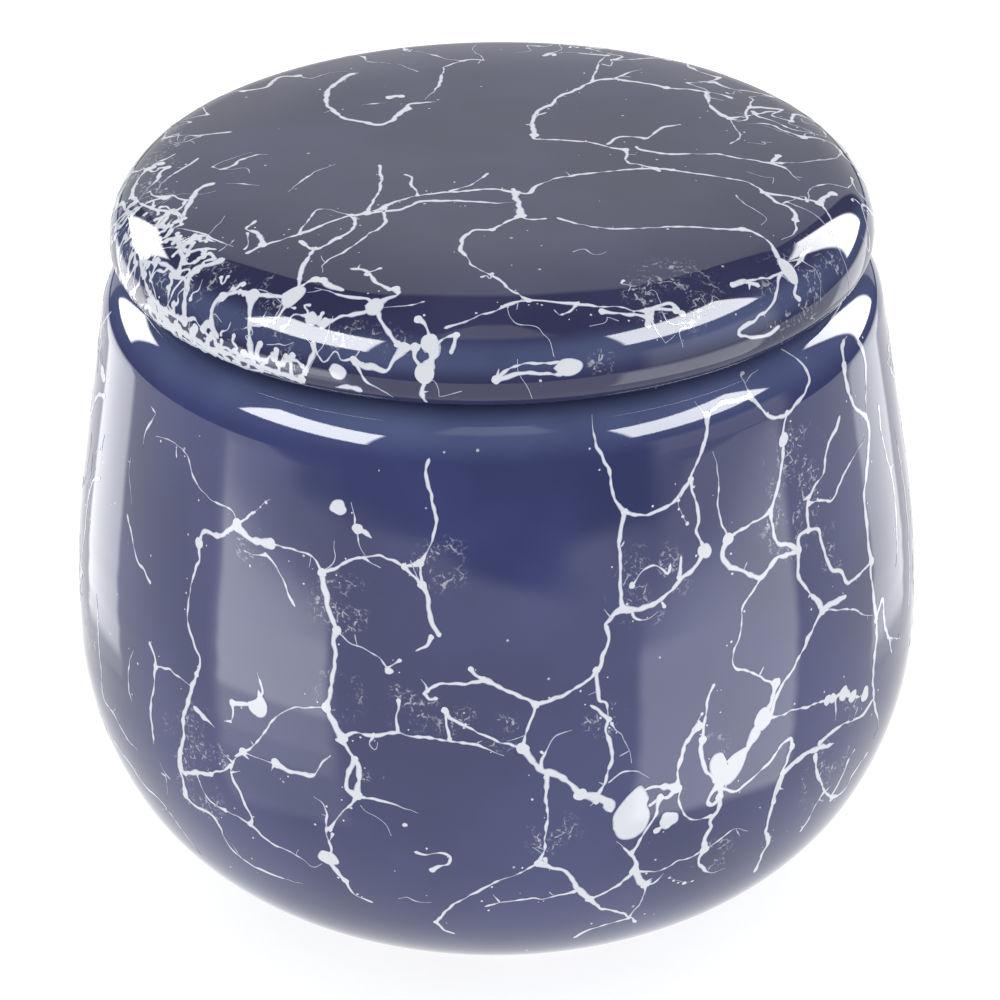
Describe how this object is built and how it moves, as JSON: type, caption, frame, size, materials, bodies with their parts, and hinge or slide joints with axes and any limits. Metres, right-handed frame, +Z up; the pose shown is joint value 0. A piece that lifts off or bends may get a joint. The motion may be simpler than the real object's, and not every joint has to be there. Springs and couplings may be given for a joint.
{
  "type": "lidded vanity jar",
  "caption": "Barrel-shaped glazed ceramic jar with a thick round lift-off lid, for trinkets and small toiletries.",
  "frame": {"origin": "on the jar's axis, on the plane the foot pads rest on", "axes": "+Z up the jar's axis, +X to the right and +Y to the back as seen from the front"},
  "size_m": [0.1, 0.1, 0.0897],
  "materials": {
    "jar_glaze": "high gloss navy glaze with white crackle veins",
    "lid_glaze": "high gloss navy glaze with white crackle veins",
    "seal_silicone": "satin near-black silicone",
    "pad_silicone": "satin clear silicone"
  },
  "bodies": {
    "jar": {"jar": "jar_glaze", "foot_pad_1": "pad_silicone", "foot_pad_2": "pad_silicone", "foot_pad_3": "pad_silicone", "foot_pad_4": "pad_silicone"},
    "lid": {"lid": "lid_glaze", "lid_seal": "seal_silicone"}
  },
  "joints": [
    {"name": "lid_lift", "type": "slide", "parent": "jar", "child": "lid", "axis": [0, 0, 1], "range_m": [0, 0.06]}
  ]
}
